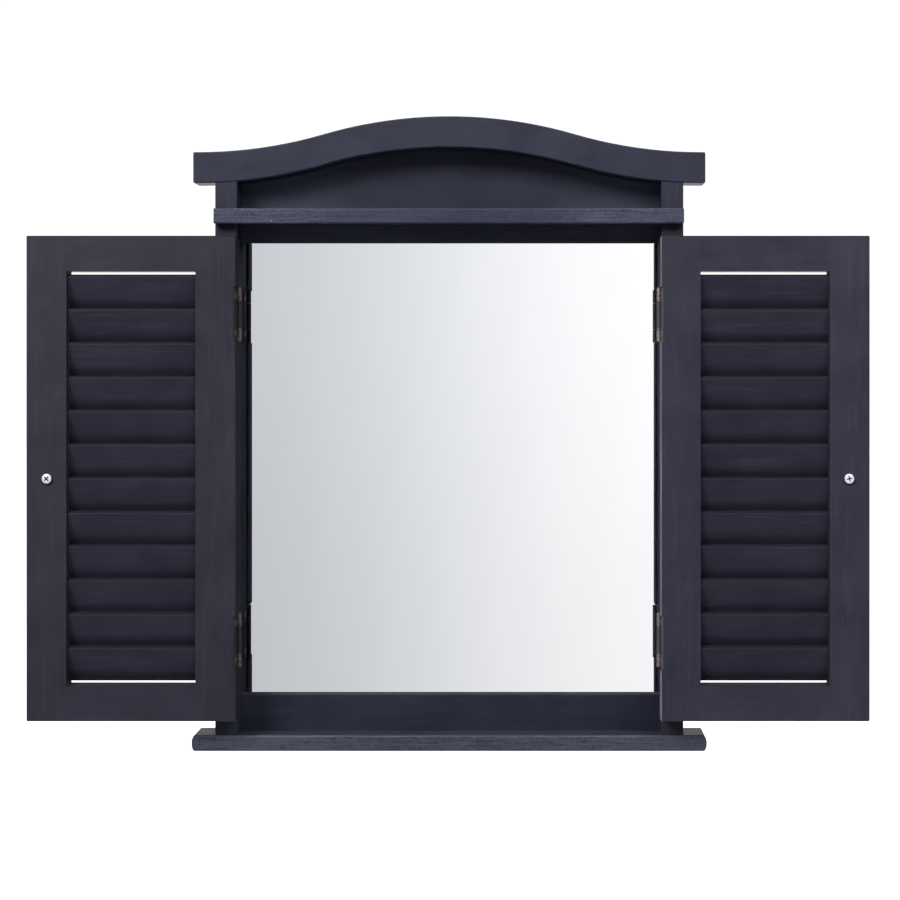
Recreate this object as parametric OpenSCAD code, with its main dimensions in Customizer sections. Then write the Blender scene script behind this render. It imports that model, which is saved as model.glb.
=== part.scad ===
// Wall mirror behind a pair of louvred shutters, in a small window frame with an arched head.
// Millimetres. The wall is the plane y = 0 and the front faces -y. The underside of the sill is z = 0,
// and x = 0 is the middle. The shutters are drawn folded back flat, as the mirror is shown in use.

/* [Posts] */
// Width over the outside of the two posts
posts_w = 391; // [330:1:500]
// Width of each post, seen from the front
post_w = 18.5; // [17:0.5:26]
// Depth of each post, from its front to the wall
post_d = 28; // [27:0.5:40]
// Rounding of the front edges of the posts
post_edge_r = 1.2; // [0.5:0.1:2]

/* [Sill] */
// How far each end of the sill runs out past the post
sill_horn = 19.5; // [12:0.5:40]
// Thickness of the sill
sill_h = 13.5; // [10:0.5:20]
// How far the sill stands out in front of the posts
sill_front = 2; // [1:0.5:10]
// How far the rounded end of the sill bulges
sill_bulge = 2.5; // [1:0.1:4]
// Rounding of the long edges of the sill
sill_edge_r = 2; // [1:0.1:4]

/* [Arched head rail] */
// How far each end of the head rail runs out past the post
arch_horn = 18.5; // [12:0.5:40]
// Height of the band of the head rail
arch_band = 26; // [20:0.5:35]
// Thickness of the head rail, front to back
arch_t = 21; // [18:0.5:24]
// Rounding of the long front edges of the head rail
arch_edge_r = 1.2; // [0.5:0.1:1.5]
// Rounding of the corners at the ends of the head rail
arch_corner_r = 1.8; // [1.7:0.1:3]

/* [Panel under the arch] */
// Height of the panel beside the posts
pediment_side_h = 21.5; // [12:0.5:40]
// Thickness of the panel
pediment_t = 5.5; // [3:0.5:6]
// How far the panel laps up behind the head rail
pediment_lap = 12; // [6:0.5:18]

/* [Ledge] */
// Thickness of the ledge under the panel
ledge_h = 13; // [10:0.5:18]
// How far the ledge stands out in front of the posts
ledge_front = 8; // [3:0.5:15]
// Rounding of the front edges of the ledge
ledge_edge_r = 1.5; // [0.5:0.1:3]

/* [Mirror] */
// Height of the opening between the two rails
opening_h = 381; // [300:0.5:460]
// Height of the rail above the mirror
top_rail_h = 27; // [24:0.5:40]
// Height of the rail below the mirror
bottom_rail_h = 31; // [24:0.5:45]
// How far the rails stand back behind the fronts of the posts
rail_set_back = 17.5; // [17:0.5:19]
// Rounding of the edges of the rails beside the mirror
rail_edge_r = 1.2; // [0.5:0.1:1.5]
// Thickness of the mirror glass
glass_t = 3; // [2:0.5:4]
// How far the glass laps behind the rails and posts
glass_lap = 4; // [3:0.5:6]
// Gap between the edge of the glass and the wood
glass_gap = 0.5; // [0.2:0.1:1]
// Thickness of the back board
board_t = 2.4; // [2:0.1:3]
// How far the back board laps past the edge of the opening
board_lap = 8.6; // [8:0.1:10]
// How far the back board lies below the wall face
board_sink = 0.6; // [0.5:0.1:1]
// Length of the tenons on the two rails
rail_tenon = 6; // [4:0.5:6.5]

/* [Shutters] */
// Thickness of the shutters
shutter_t = 16; // [15:0.5:17]
// Gap from the sill up to a closed shutter
shutter_gap_below = 15.1; // [3:0.1:20]
// Gap from a closed shutter up to the ledge
shutter_gap_above = 10.9; // [3:0.1:16]
// Gap between the two closed shutters
meeting_gap = 5; // [2:0.5:8]
// Width of the upright stiles
stile_w = 33; // [26:0.5:40]
// Height of the top and bottom rails of a shutter
shutter_rail_h = 29.3; // [22:0.1:36]
// Rounding of the long edges of a shutter
shutter_edge_r = 1; // [0.8:0.1:3]
// Rounding of the four corners of a shutter
shutter_corner_r = 1.5; // [1:0.1:5]
// Length of the tenons on the shutter rails
shutter_tenon = 20; // [10:0.5:24]
// Thickness of those tenons
shutter_tenon_t = 5.5; // [4:0.5:7]

/* [Slats] */
// Number of slats in each shutter
slat_count = 12; // [8:1:13]
// Thickness of a slat
slat_t = 4.5; // [3.5:0.5:6]
// Tilt of the slats from upright, in degrees
slat_tilt = 16; // [8:1:22]
// How far each slat reaches below the top of the next one
slat_overlap = 1.8; // [1:0.1:5]
// Gap between the end slats and the shutter rails
slat_end_gap = 2.4; // [1:0.1:6]
// Rounding of the slat edges
slat_edge_r = 1.5; // [0.5:0.1:1.6]
// Depth of the housings in the stiles that hold the slat ends
housing_d = 4; // [3:0.5:8]

/* [Hinges] */
// Length of a hinge
hinge_len = 45; // [36:1:60]
// From the end of a shutter to the middle of its hinge
hinge_inset = 64.5; // [45:0.5:100]
// Radius of the hinge knuckles
knuckle_r = 1.9; // [1.9:0.1:2.4]
// Radius of the hinge pins
hinge_pin_r = 1; // [0.8:0.1:1.2]
// Length of each of the two outer knuckles
outer_knuckle = 11; // [8:0.5:13]
// Thickness of a hinge leaf
leaf_t = 1; // [0.8:0.1:1.2]
// Width of a hinge leaf, from the pin line
leaf_w = 17; // [12:0.5:17]
// From the pin line to the seat of a leaf in the wood
leaf_seat = 2.5; // [2.5:0.1:2.8]
// How far the pin line stands in front of the posts
pin_front = 1.5; // [1.4:0.1:2]
// Gap from the inner face of a post to the pin line
post_gap = 2.1; // [1.6:0.1:2.2]
// Gap from the pin line to the edge of a shutter
shutter_gap = 0.1; // [0.1:0.1:0.4]
// Distance between the two screws of a leaf
hinge_screw_spacing = 30.5; // [24:0.5:34]

/* [Knobs] */
// From the free edge of a shutter to the middle of its knob
knob_inset = 17.2; // [14:0.1:22]
// Radius of the head of a knob
knob_r = 11; // [10:0.5:13]
// How far a knob stands out
knob_h = 18; // [16:0.5:19]
// Radius of the neck of a knob
knob_neck_r = 4.5; // [4:0.1:5]
// Radius of the rim of a knob
knob_rim_r = 3; // [2:0.5:3]
// Radius of the knob screw
knob_screw_r = 2; // [1.5:0.1:2.5]
// Radius of the head of the knob screw
knob_screw_head_r = 4.3; // [3.5:0.1:5]
// How far the knob screw reaches into the knob
knob_screw_bite = 10; // [6:0.5:12]

/* [Wall hangers] */
// Width of a hanger plate
hanger_w = 14; // [12:0.5:15]
// Height of a hanger plate
hanger_h = 34; // [32:1:36]
// Thickness of a hanger plate
hanger_t = 1.5; // [1:0.1:2]
// Rounding of the corners of a hanger plate
hanger_corner_r = 3; // [2:0.5:4]
// Radius of the entry hole of the keyhole
keyhole_r = 4.5; // [4:0.1:4.8]
// Half width of the slot of the keyhole
keyslot_r = 2.2; // [1.8:0.1:2.5]
// From the middle of a hanger plate down to its entry hole
keyhole_drop = 3.5; // [3:0.1:4]
// From the entry hole up to the end of the slot
keyslot_rise = 8; // [6:0.5:8]
// From the ends of a hanger plate to its screws
hanger_screw_inset = 3.6; // [3.4:0.1:4]
// Depth of the pocket for the wall screw behind a hanger plate
hanger_pocket_d = 7; // [6:0.5:10]
// Room round the head of the wall screw in that pocket
hanger_pocket_room = 1; // [0.5:0.1:1.5]

/* [Fasteners] */
// Radius of the frame screws
frame_screw_r = 1.75; // [1.5:0.05:2]
// Length of the frame screws
frame_screw_len = 25; // [22:0.5:26]
// Radius of the hanger screws
hanger_screw_r = 1.5; // [1.2:0.1:1.6]
// Length of the hanger screws
hanger_screw_len = 12; // [9:0.5:14]
// Radius of the hinge screws
hinge_screw_r = 1.25; // [1:0.05:1.5]
// Length of the hinge screws
hinge_screw_len = 11; // [8:0.5:13]
// Radius of the panel pins
panel_pin_r = 0.7; // [0.5:0.1:0.8]
// Radius of the heads of the panel pins
panel_pin_head_r = 1.5; // [1:0.1:1.6]
// Thickness of the heads of the panel pins
panel_pin_head_h = 0.4; // [0.3:0.1:0.4]
// Length of the pins in the back board
board_pin_len = 8; // [6:0.5:8]
// Length of the pins in the panel under the arch
pediment_pin_len = 14; // [10:0.5:16]

/* [Hidden] */
$fn = 48;
arch_fn = 360;
// Clearance round tenons, slat ends and let-in leaves
fit = 0.1;
// Clearance round a screw or a pin in its hole
screw_fit = 0.05;
// Clearance between moving hinge faces
play = 0.3;
// How far a cutting tool runs past the wood
past = 1;
// Depths of the two screws under each post, as shares of the depth of the post
sill_screw_shares = [0.45, 0.8];
// How far up behind the band of the head rail the tongues of the posts and their screws reach
tongue_share = 0.72;
arch_screw_share = 0.4;
// Places of screws and pins along the wood, as shares of the way from the middle to the posts
ledge_screw_shares = [-0.75, 0, 0.75];
pediment_pin_shares = [-0.8, -0.4, 0, 0.4, 0.8];
board_pin_shares = [-0.8, 0, 0.8];
// Heights of the pins beside the mirror, as shares of the height of the opening
board_side_shares = [0.1, 0.5, 0.9];
// Shoulders above and below the tenons, as shares of the height of a rail
rail_shoulder_share = 0.15;
shutter_shoulder_share = 0.18;
// Half width of the bars of a cross recess and half their length, in radii of the screw head
cross_half_w = 0.13;
cross_reach = 0.6;
// Height of a pan head and radius of its crown in radii of the head, and floor of its recess
pan_head_share = 0.62;
pan_crown_share = 1.35;
pan_floor_share = 0.3;
// Straight steps in each arc of the turned knobs, and the angle up to which their dome is turned
turned_steps = 12;
dome_end = 84;

inner_half = posts_w / 2 - post_w;
post_mid = posts_w / 2 - post_w / 2;
post_front = -post_d;
rail_front = post_front + rail_set_back;
// From the front of a mirror rail back to the front of its tenons
rail_step = 0.5;

opening_z = sill_h + bottom_rail_h;
top_rail_z = opening_z + opening_h;
ledge_top = top_rail_z + top_rail_h;
ledge_z = ledge_top - ledge_h;

sill_half = posts_w / 2 + sill_horn;
sill_d = post_d + sill_front;

// The two arcs of each half of the arch are set out with a 7, 24, 25 triangle. That makes the half
// span 14, the radius 25 and the rise 2 whole units, and what is left over is level at the ends
arch_half = posts_w / 2 + arch_horn;
arch_unit = floor((arch_half - 2) / 14);
arch_span = 14 * arch_unit;
arch_r = 25 * arch_unit;
arch_rise = 2 * arch_unit;
arch_top = ledge_top + pediment_side_h + arch_band + arch_rise;
arch_end_top = arch_top - arch_rise;
arch_end_z = arch_end_top - arch_band;
arch_back = post_front + arch_t;
post_tongue_top = arch_end_z + tongue_share * arch_band;

board_front = -board_sink - board_t;
glass_front = board_front - glass_t;

pin_x = inner_half - post_gap;
pin_y = post_front - pin_front;

shutter_w = pin_x - shutter_gap - meeting_gap / 2;
shutter_z = sill_h + shutter_gap_below;
shutter_h = ledge_z - shutter_gap_above - shutter_z;
window_w = shutter_w - 2 * stile_w;
window_h = shutter_h - 2 * shutter_rail_h;
outer_face = pin_front;
inner_face = outer_face + shutter_t;
shutter_mid_y = outer_face + shutter_t / 2;

slat_pitch = (window_h - 2 * slat_end_gap - slat_overlap) / slat_count;
slat_rise = slat_pitch + slat_overlap;
slat_core_t = slat_t - 2 * slat_edge_r;
slat_core_len = (slat_rise - 2 * slat_edge_r - slat_core_t * sin(slat_tilt)) / cos(slat_tilt);
slat_len = slat_core_len + 2 * slat_edge_r;

hinge_zs = [shutter_z + hinge_inset, shutter_z + shutter_h - hinge_inset];
middle_half = hinge_len / 2 - outer_knuckle;
outer_spans = [[-hinge_len / 2, -middle_half], [middle_half, hinge_len / 2]];
middle_spans = [[play - middle_half, middle_half - play]];
knob_x = shutter_gap + shutter_w - knob_inset;
knob_z = shutter_z + shutter_h / 2;

hanger_z = (ledge_z + arch_end_z) / 2;
keyhole_z = hanger_z - keyhole_drop;
hanger_screw_z = hanger_h / 2 - hanger_screw_inset;

wood_paint = [0.20, 0.205, 0.245];
slat_paint = [0.17, 0.165, 0.21];
edge_paint = [0.26, 0.265, 0.33];
steel = [0.74, 0.74, 0.76];
brass = [0.67, 0.55, 0.32];
silvered = [0.80, 0.83, 0.85];
hardboard = [0.45, 0.33, 0.22];

SLATS = [for (i = [1 : slat_count]) i];
FRAME_NODES = [
    "sill", "left_post", "right_post", "arch_rail", "pediment_panel", "ledge",
    "mirror_top_rail", "mirror_bottom_rail", "mirror_glass", "back_board", "back_board_pins",
    "pediment_pins", "left_hanger_plate", "right_hanger_plate", "hanger_screws", "frame_screws",
    "left_post_hinge_leaves", "right_post_hinge_leaves", "hinge_pins", "post_hinge_screws"
];
SHUTTER_PIECES = [
    "hinge_stile", "free_stile", "top_rail", "bottom_rail",
    "hinge_leaves", "hinge_screws", "knob", "knob_screw"
];

// ---- Outlines and small shared shapes ----

// Rectangle with four rounded corners, its lower left corner at the origin
module rounded_rect(size, r) {
    translate([r, 0]) square([size.x - 2 * r, size.y]);
    translate([0, r]) square([size.x, size.y - 2 * r]);
    for (x = [r, size.x - r], y = [r, size.y - r]) {
        translate([x, y]) circle(r);
    }
}

// What a round-over takes off a corner at the origin, with the wood towards -x and -y
module corner_waste(r) {
    difference() {
        translate([-r, -r]) square(r + past);
        translate([-r, -r]) circle(r);
    }
}

// Board against the wall with its front edges and its ends rounded
module eased_board(half_w, depth, height, r) {
    intersection() {
        translate([-half_w, -depth, 0]) linear_extrude(height) rounded_rect([2 * half_w, depth], r);
        translate([-half_w, 0, 0]) rotate([90, 0, 90]) linear_extrude(2 * half_w)
            translate([-depth, 0]) rounded_rect([depth + r, height], r);
        upright(depth) children();
    }
}

// Stands a drawing up against the wall plane and gives it a depth towards the front
module upright(depth) {
    rotate([90, 0, 0]) linear_extrude(depth) children();
}

// Countersunk screw with its head flush at z = 0 and its point towards -z
module countersunk_screw(r, length) {
    head_r = 2 * r;
    difference() {
        union() {
            translate([0, 0, -r]) cylinder(h = r, r1 = r, r2 = head_r);
            translate([0, 0, r - length]) cylinder(h = length - 2 * r, r = r);
            translate([0, 0, -length]) cylinder(h = r, r1 = r / 4, r2 = r);
        }
        translate([0, 0, -r / 2]) cross_recess(cross_reach * head_r, cross_half_w * head_r, r);
    }
}

// The two crossing bars that a screwdriver fits, standing on z = 0
module cross_recess(reach, half_w, height) {
    for (size = [[reach, half_w], [half_w, reach]]) {
        translate([-size.x, -size.y, 0]) cube([2 * size.x, 2 * size.y, height]);
    }
}

// Hole that a countersunk screw sits in
module countersunk_hole(r, length) {
    hole_r = r + screw_fit;
    translate([0, 0, -r - screw_fit]) cylinder(h = r, r1 = hole_r, r2 = 2 * r + screw_fit);
    translate([0, 0, -screw_fit]) cylinder(h = past, r = 2 * r + screw_fit);
    translate([0, 0, -length - screw_fit]) cylinder(h = length, r = hole_r);
}

// Panel pin with the underside of its head at z = 0 and its point towards -z
module panel_pin(length) {
    cylinder(h = panel_pin_head_h, r = panel_pin_head_r);
    translate([0, 0, -length]) cylinder(h = length, r = panel_pin_r);
}

module panel_pin_hole(length) {
    translate([0, 0, -length - screw_fit]) cylinder(h = length + past, r = panel_pin_r + screw_fit);
}

// Turns a fastener that points down so that it points from the wall towards the front
module from_back() {
    rotate([-90, 0, 0]) children();
}

module both_sides() {
    children();
    mirror([1, 0, 0]) children();
}

// ---- The S-shaped curve of the arch ----

// Everything under the arch curve whose crown is at height crown, down to height low
module under_arch(crown, low, half_w) {
    turn_z = crown - arch_rise / 2;
    foot_z = crown - arch_rise;
    intersection() {
        translate([-arch_span / 2, low]) square([arch_span, crown - low]);
        translate([0, crown - arch_r]) circle(arch_r, $fn = arch_fn);
    }
    both_sides() {
        difference() {
            translate([arch_span / 2, low]) square([arch_span / 2, turn_z - low]);
            translate([arch_span, foot_z + arch_r]) circle(arch_r, $fn = arch_fn);
        }
        translate([arch_span, low]) square([half_w - arch_span, foot_z - low]);
    }
}

// Edge of the wood under the curve: x runs out through the edge, y runs from back to front.
// The front of the edge is rounded over, or it flares on a cutter that leaves a rounded edge behind
module arch_rim(reach, flare) {
    r = arch_edge_r;
    if (flare) {
        translate([-reach, -past]) square([reach, arch_t + 2 * past]);
        difference() {
            translate([-past, arch_t - r]) square(r + past);
            translate([r, arch_t - r]) circle(r);
        }
    } else {
        translate([-reach, -past]) square([reach - r, arch_t + 2 * past]);
        translate([-reach, -past]) square([reach, arch_t - r + past]);
        translate([-r, arch_t - r]) circle(r);
    }
}

// Wide ring round the centre of an arc
module arch_ring(flare) {
    rotate_extrude($fn = arch_fn) translate([arch_r, 0]) arch_rim(arch_r / 2, flare);
}

// Wedge of the crown arc: the arcs meet on the lines through their centres
module crown_wedge(crown) {
    edge = 1.2 * [arch_span / 2, arch_r - arch_rise / 2];
    translate([0, crown - arch_r, -2 * past]) linear_extrude(arch_t + 4 * past)
        polygon([[0, 0], edge, [-edge.x, edge.y]]);
}

// Block under the arch curve whose crown is at height crown, down to height low
module arch_block(crown, low, flare) {
    foot_z = crown - arch_rise;
    depth = arch_t + 2 * past;
    intersection() {
        translate([0, crown - arch_r, 0]) arch_ring(flare);
        crown_wedge(crown);
        translate([-arch_span, low, -past]) cube([2 * arch_span, crown + past - low, depth]);
    }
    both_sides() {
        difference() {
            translate([0, low, -past]) cube([arch_span, foot_z + arch_rise / 2 + past - low, depth]);
            crown_wedge(crown);
            translate([arch_span, foot_z + arch_r, 0]) arch_ring(!flare);
        }
        translate([arch_span, foot_z, 0]) rotate([90, 0, 90])
            linear_extrude(arch_half - arch_span) arch_rim(foot_z - low, flare);
    }
}

// ---- Frame ----

module sill() {
    nose_r = (sill_h * sill_h / 4 + sill_bulge * sill_bulge) / (2 * sill_bulge);
    straight = sill_half - 2 * sill_bulge;
    color(edge_paint) difference() {
        eased_board(sill_half, sill_d, sill_h, sill_edge_r) {
            translate([-straight, 0]) square([2 * straight, sill_h]);
            for (x = [nose_r - sill_half, sill_half - nose_r]) {
                translate([x, sill_h / 2]) circle(nose_r);
            }
        }
        sill_screw_places() countersunk_hole(frame_screw_r, frame_screw_len);
    }
}

// Places of the screws that come up through the sill
module sill_screw_places() {
    both_sides() {
        for (share = sill_screw_shares) {
            translate([post_mid, -post_d * share, 0]) mirror([0, 0, 1]) children();
        }
        translate([inner_half / 2, rail_front / 2, 0]) mirror([0, 0, 1]) children();
    }
}

// Places of the screws from the back through the posts into the head rail
module arch_screw_places() {
    both_sides() {
        for (x = [-post_w / 4, post_w / 4]) {
            translate([post_mid + x, 0, arch_end_z + arch_screw_share * arch_band]) from_back() children();
        }
    }
}

// Places of the screws from the back through the top rail into the ledge
module ledge_screw_places() {
    for (share = ledge_screw_shares) {
        translate([share * inner_half, 0, ledge_z + ledge_h / 2]) from_back() children();
    }
}

module frame_screws() {
    color(steel) {
        sill_screw_places() countersunk_screw(frame_screw_r, frame_screw_len);
        arch_screw_places() countersunk_screw(frame_screw_r, frame_screw_len);
        ledge_screw_places() countersunk_screw(frame_screw_r, frame_screw_len);
    }
}

// Steps cut behind the opening for the glass and for the back board
module glazing_rebate() {
    lap = glass_lap + glass_gap;
    translate([-inner_half - lap, glass_front, opening_z - lap])
        cube([2 * (inner_half + lap), -glass_front + past, opening_h + 2 * lap]);
    board = board_lap + glass_gap;
    translate([-inner_half - board, board_front, opening_z - board])
        cube([2 * (inner_half + board), -board_front + past, opening_h + 2 * board]);
}

// Tenons at both ends of a mirror rail, in front of the glazing rebate
module rail_tenons(low, height, gap) {
    shoulder = rail_shoulder_share * height;
    half_w = inner_half + rail_tenon + gap;
    front = rail_front + rail_step - gap;
    translate([-half_w, front, low + shoulder - gap])
        cube([2 * half_w, glass_front + gap - front, height - 2 * shoulder + 2 * gap]);
}

module mirror_top_rail() {
    color(wood_paint) mirror_rail(top_rail_z, top_rail_h) translate([rail_front, 0]) rotate(180)
        corner_waste(rail_edge_r);
}

module mirror_bottom_rail() {
    color(wood_paint) mirror_rail(sill_h, bottom_rail_h) translate([rail_front, bottom_rail_h]) rotate(90)
        corner_waste(rail_edge_r);
}

// Rail with its eased edge, given as a drawing of what is planed off, with its tenons
module mirror_rail(low, height) {
    difference() {
        union() {
            difference() {
                translate([-inner_half, 0, low]) rotate([90, 0, 90]) linear_extrude(2 * inner_half)
                    difference() {
                        translate([rail_front, 0]) square([-rail_front, height]);
                        children();
                    }
                glazing_rebate();
            }
            rail_tenons(low, height, 0);
        }
        sill_screw_places() countersunk_hole(frame_screw_r, frame_screw_len);
        ledge_screw_places() countersunk_hole(frame_screw_r, frame_screw_len);
        back_board_pin_places() panel_pin_hole(board_pin_len);
    }
}

// Right post: the front part stops under the head rail, and a tongue runs up behind the rail
module post() {
    difference() {
        intersection() {
            translate([inner_half, post_front, sill_h]) linear_extrude(arch_top)
                rounded_rect([post_w, post_d + post_edge_r], post_edge_r);
            union() {
                translate([0, arch_back, 0]) upright(arch_t)
                    under_arch(arch_top - arch_band, 0, arch_half);
                translate([0, arch_back, 0]) cube([posts_w, -arch_back, post_tongue_top]);
            }
        }
        glazing_rebate();
        rail_tenons(sill_h, bottom_rail_h, fit);
        rail_tenons(top_rail_z, top_rail_h, fit);
        hinge_places() leaf_recess(post_gap, leaf_w + fit);
        hinge_places() leaf_screw_places() countersunk_hole(hinge_screw_r, hinge_screw_len);
        sill_screw_places() countersunk_hole(frame_screw_r, frame_screw_len);
        arch_screw_places() countersunk_hole(frame_screw_r, frame_screw_len);
        back_board_pin_places() panel_pin_hole(board_pin_len);
        hanger_recess();
        hanger_screw_places() countersunk_hole(hanger_screw_r, hanger_screw_len);
    }
}

module left_post() {
    color(wood_paint) mirror([1, 0, 0]) post();
}

module right_post() {
    color(wood_paint) post();
}

module arch_rail() {
    color(wood_paint) difference() {
        intersection() {
            translate([0, arch_back, 0]) rotate([90, 0, 0]) difference() {
                arch_block(arch_top, arch_end_z - past, false);
                arch_block(arch_top - arch_band, arch_end_z - 2 * past, true);
            }
            translate([-arch_half, post_front, arch_end_z]) linear_extrude(arch_top)
                rounded_rect([2 * arch_half, arch_t], arch_corner_r);
        }
        both_sides() {
            translate([arch_half, arch_back + past, arch_end_top]) upright(arch_t + 2 * past)
                corner_waste(arch_corner_r);
            translate([arch_half, arch_back + past, arch_end_z]) upright(arch_t + 2 * past)
                mirror([0, 1]) corner_waste(arch_corner_r);
        }
        arch_screw_places() countersunk_hole(frame_screw_r, frame_screw_len);
        pediment_pin_places() panel_pin_hole(pediment_pin_len);
    }
}

module pediment_panel() {
    color(wood_paint) difference() {
        translate([0, arch_back + pediment_t, 0]) upright(pediment_t) intersection() {
            translate([-inner_half + fit, ledge_top])
                square([2 * (inner_half - fit), arch_top - ledge_top]);
            under_arch(arch_top - arch_band + pediment_lap, 0, arch_half);
        }
        pediment_pin_places() panel_pin_hole(pediment_pin_len);
    }
}

// Pins through the panel into the back of the head rail, along the arch
module pediment_pin_places() {
    lift = pediment_lap / 2 - arch_band;
    for (share = pediment_pin_shares) {
        x = share * inner_half;
        translate([x, arch_back + pediment_t, arch_height(x) + lift]) from_back() children();
    }
}

// Height of the arch curve at a distance x from the middle
function arch_height(x) =
    abs(x) < arch_span / 2
    ? arch_top - arch_r + sqrt(arch_r * arch_r - x * x)
    : arch_end_top + arch_r - sqrt(arch_r * arch_r - (arch_span - abs(x)) * (arch_span - abs(x)));

module pediment_pins() {
    color(steel) pediment_pin_places() panel_pin(pediment_pin_len);
}

// Ledge notched round the posts, with a strip in front of them
module ledge() {
    color(edge_paint) difference() {
        translate([0, 0, ledge_z]) eased_board(posts_w / 2, post_d + ledge_front, ledge_h, ledge_edge_r)
            translate([-posts_w / 2, 0]) rounded_rect([posts_w, ledge_h], ledge_edge_r);
        translate([-inner_half, rail_front, ledge_z - past])
            cube([2 * inner_half, -rail_front + past, ledge_h + 2 * past]);
        both_sides() translate([inner_half, post_front, ledge_z - past])
            cube([post_w + past, post_d + past, ledge_h + 2 * past]);
        ledge_screw_places() countersunk_hole(frame_screw_r, frame_screw_len);
    }
}

module mirror_glass() {
    color(silvered) translate([-inner_half - glass_lap, glass_front, opening_z - glass_lap])
        cube([2 * (inner_half + glass_lap), glass_t, opening_h + 2 * glass_lap]);
}

module back_board() {
    color(hardboard) difference() {
        translate([-inner_half - board_lap, board_front, opening_z - board_lap])
            cube([2 * (inner_half + board_lap), board_t, opening_h + 2 * board_lap]);
        back_board_pin_places() panel_pin_hole(board_pin_len);
    }
}

// Pins round the margin of the back board, outside the edge of the glass
module back_board_pin_places() {
    margin = (glass_lap + glass_gap + board_lap) / 2;
    for (share = board_pin_shares, z = [opening_z - margin, top_rail_z + margin]) {
        translate([share * inner_half, -board_sink, z]) from_back() children();
    }
    for (share = board_side_shares, side = [-1, 1]) {
        translate([side * (inner_half + margin), -board_sink, opening_z + share * opening_h])
            from_back() children();
    }
}

module back_board_pins() {
    color(steel) back_board_pin_places() panel_pin(board_pin_len);
}

// ---- Wall hangers ----

module keyhole_outline(grow) {
    circle(keyhole_r + grow);
    translate([-keyslot_r - grow, 0]) square([2 * (keyslot_r + grow), keyslot_rise]);
    translate([0, keyslot_rise]) circle(keyslot_r + grow);
}

module hanger_plate() {
    difference() {
        translate([post_mid - hanger_w / 2, 0, hanger_z - hanger_h / 2])
            upright(hanger_t) rounded_rect([hanger_w, hanger_h], hanger_corner_r);
        translate([post_mid, past, keyhole_z]) upright(hanger_t + 2 * past) keyhole_outline(0);
        hanger_screw_places() countersunk_hole(hanger_screw_r, hanger_screw_len);
    }
}

// Recess that lets a hanger plate in flush, with a pocket for the head of the wall screw
module hanger_recess() {
    translate([post_mid - hanger_w / 2 - fit, past, hanger_z - hanger_h / 2 - fit])
        upright(hanger_t + past) rounded_rect([hanger_w + 2 * fit, hanger_h + 2 * fit], hanger_corner_r);
    pocket_r = keyhole_r + hanger_pocket_room;
    translate([post_mid, 0, keyhole_z]) upright(hanger_pocket_d) {
        circle(pocket_r);
        translate([-pocket_r, 0]) square([2 * pocket_r, keyslot_rise]);
        translate([0, keyslot_rise]) circle(pocket_r);
    }
}

module hanger_screw_places() {
    for (z = [-hanger_screw_z, hanger_screw_z]) {
        translate([post_mid, 0, hanger_z + z]) from_back() children();
    }
}

module left_hanger_plate() {
    color(steel) mirror([1, 0, 0]) hanger_plate();
}

module right_hanger_plate() {
    color(steel) hanger_plate();
}

module hanger_screws() {
    color(steel) both_sides() hanger_screw_places() countersunk_screw(hanger_screw_r, hanger_screw_len);
}

// ---- Hinges, drawn on the right post with the pin line at their origin ----

module hinge_places() {
    for (z = hinge_zs) {
        translate([pin_x, pin_y, z]) children();
    }
}

// Space that a leaf needs in wood whose face lies at a distance face from the pin line, cut to
// a distance reach behind that line
module leaf_recess(face, reach) {
    half = hinge_len / 2 + fit;
    translate([face - past, -shutter_t, -half])
        cube([leaf_seat - face + past, reach + shutter_t, 2 * half]);
}

// The two screw places of a leaf, on the face of the leaf
module leaf_screw_places() {
    for (z = [-hinge_screw_spacing / 2, hinge_screw_spacing / 2]) {
        translate([leaf_seat - leaf_t, (leaf_w + knuckle_r) / 2, z]) rotate([0, -90, 0]) children();
    }
}

// One leaf with its knuckles: own and other are the lists of [low, high] knuckle spans
module hinge_leaf(own, other) {
    difference() {
        union() {
            translate([leaf_seat - leaf_t, 0, -hinge_len / 2]) cube([leaf_t, leaf_w, hinge_len]);
            for (span = own) {
                translate([0, 0, span[0]]) cylinder(h = span[1] - span[0], r = knuckle_r);
            }
        }
        for (span = other) {
            translate([0, 0, span[0] - play])
                cylinder(h = span[1] - span[0] + 2 * play, r = leaf_seat + play);
        }
        cylinder(h = 2 * hinge_len, r = hinge_pin_r + screw_fit, center = true);
        leaf_screw_places() countersunk_hole(hinge_screw_r, hinge_screw_len);
    }
}

module right_post_hinge_leaves() {
    color(brass) hinge_places() hinge_leaf(outer_spans, middle_spans);
}

module left_post_hinge_leaves() {
    mirror([1, 0, 0]) right_post_hinge_leaves();
}

module hinge_pins() {
    color(steel) both_sides() hinge_places() cylinder(h = hinge_len, r = hinge_pin_r, center = true);
}

module post_hinge_screws() {
    color(brass) both_sides() hinge_places() leaf_screw_places()
        countersunk_screw(hinge_screw_r, hinge_screw_len);
}

// ---- Shutters, drawn closed on the left post with the pin line at x = 0, y = 0 ----

// Turns a closed left shutter back flat beside the frame
module folded_left() {
    translate([-pin_x, pin_y, 0]) rotate([0, 0, 180]) children();
}

module folded_right() {
    mirror([1, 0, 0]) folded_left() children();
}

// A whole shutter as one slab with rounded edges and corners
module shutter_slab() {
    intersection() {
        translate([shutter_gap, outer_face, shutter_z]) linear_extrude(shutter_h)
            rounded_rect([shutter_w, shutter_t], shutter_edge_r);
        translate([shutter_gap, outer_face, shutter_z]) rotate([90, 0, 90]) linear_extrude(shutter_w)
            rounded_rect([shutter_t, shutter_h], shutter_edge_r);
        translate([shutter_gap, inner_face, shutter_z]) upright(shutter_t)
            rounded_rect([shutter_w, shutter_h], shutter_corner_r);
    }
}

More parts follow.
